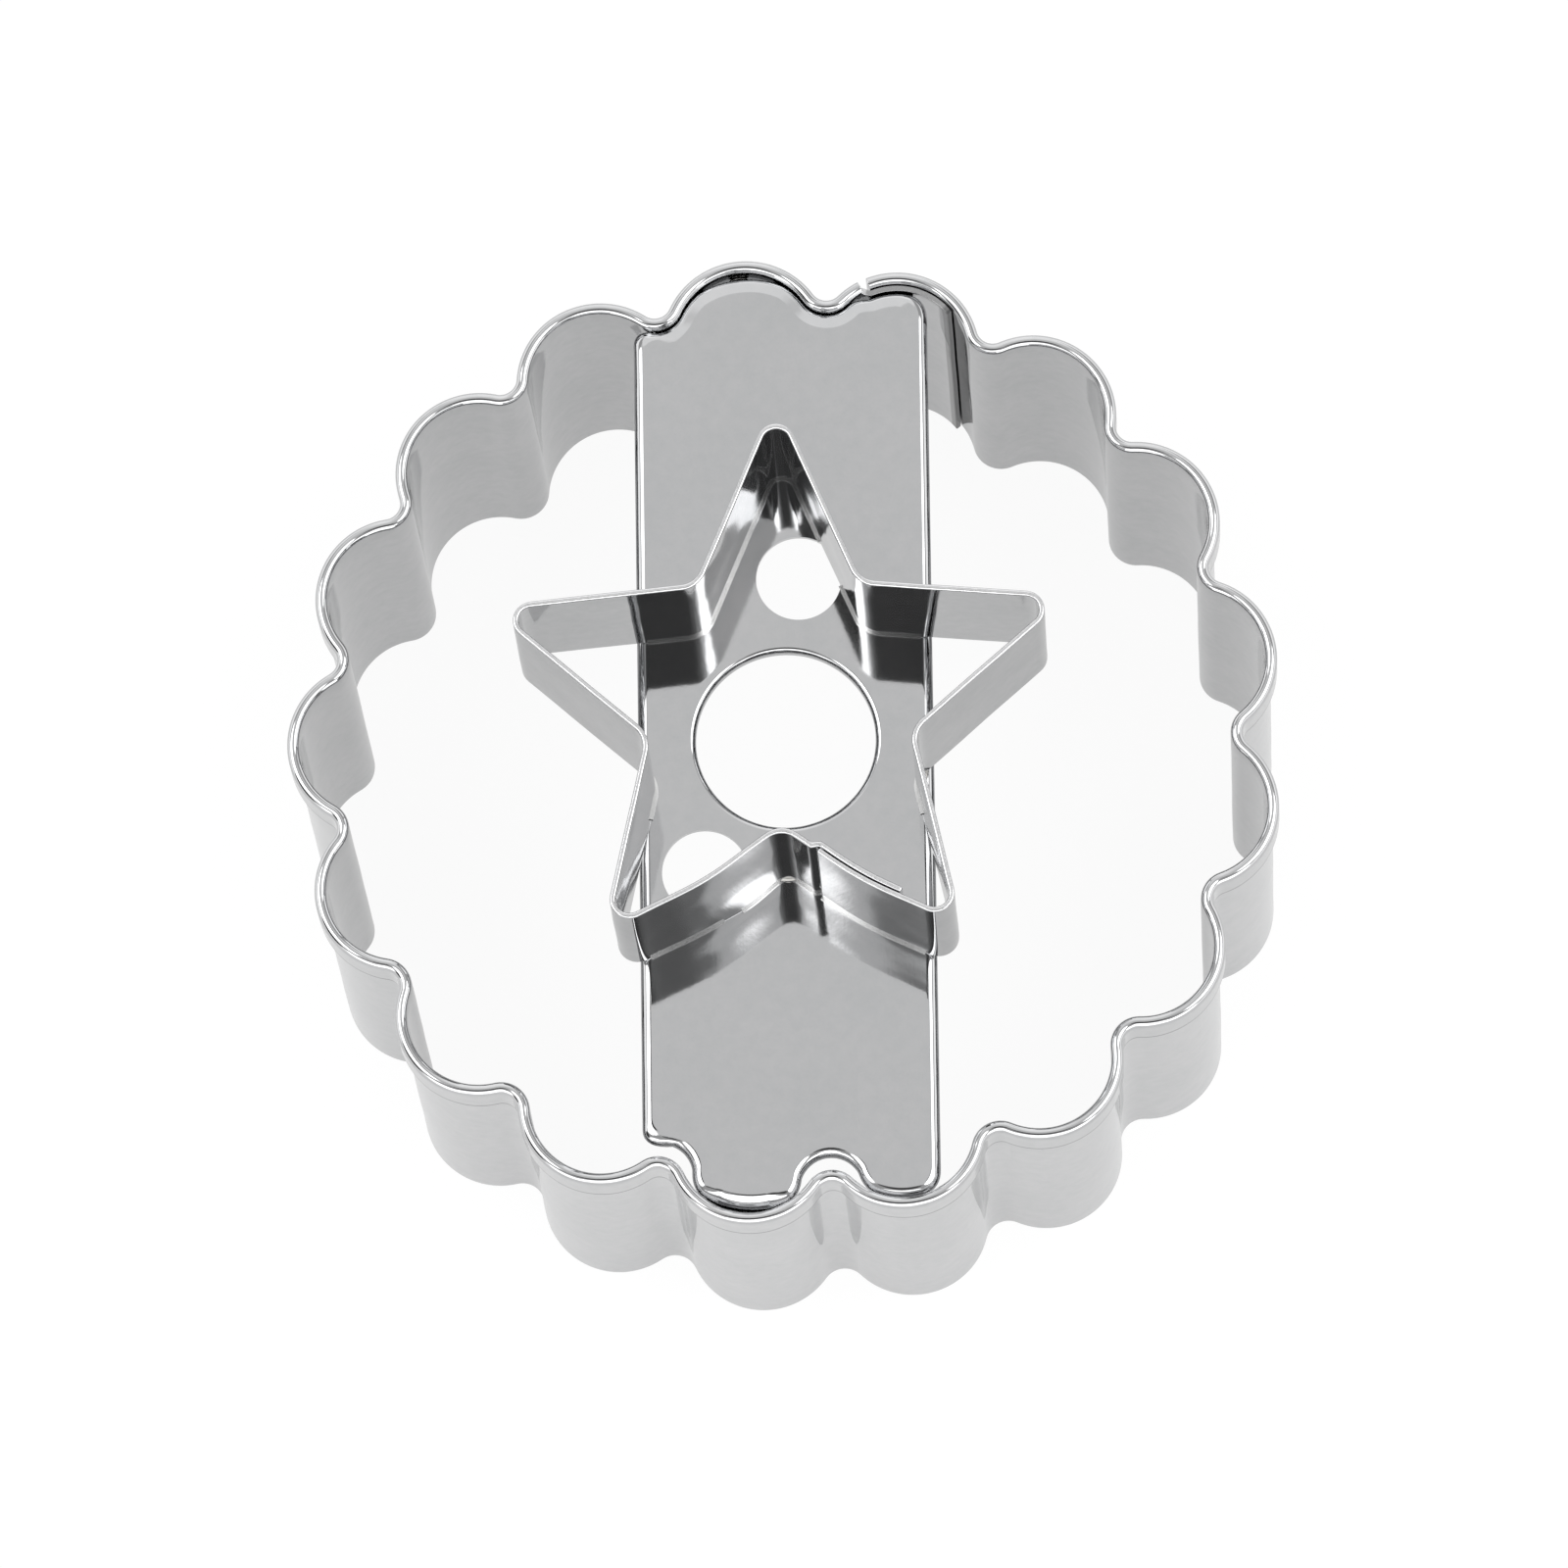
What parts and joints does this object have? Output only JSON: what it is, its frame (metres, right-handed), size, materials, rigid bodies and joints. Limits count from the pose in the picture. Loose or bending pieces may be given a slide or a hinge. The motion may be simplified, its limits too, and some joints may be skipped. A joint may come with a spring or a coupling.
{
  "type": "linzer cookie cutter",
  "caption": "Two-sided sheet steel biscuit cutter: a scalloped ring with a bridge plate that carries a star-shaped cutter on its other side.",
  "frame": {"origin": "on the ring's axis, in the plane of the ring's cutting edge, which the cutter stands on", "axes": "+Z along the ring's axis, from the ring's cutting edge up to the star's; +Y along the bridge plate, to the end that one arm of the star points to"},
  "size_m": [0.0497, 0.0498, 0.0305],
  "materials": {
    "polished_sheet_steel": "polished stainless sheet",
    "weld_steel": "bare weld metal"
  },
  "bodies": {
    "root": {"outer_ring": "polished_sheet_steel", "bridge_plate": "polished_sheet_steel", "star_cutter": "polished_sheet_steel", "flange_weld_back_left": "weld_steel", "flange_weld_back_right": "weld_steel", "flange_weld_front_left": "weld_steel", "flange_weld_front_right": "weld_steel", "star_tack_1": "weld_steel", "star_tack_2": "weld_steel", "star_tack_3": "weld_steel", "star_tack_4": "weld_steel", "star_tack_5": "weld_steel"}
  },
  "joints": []
}
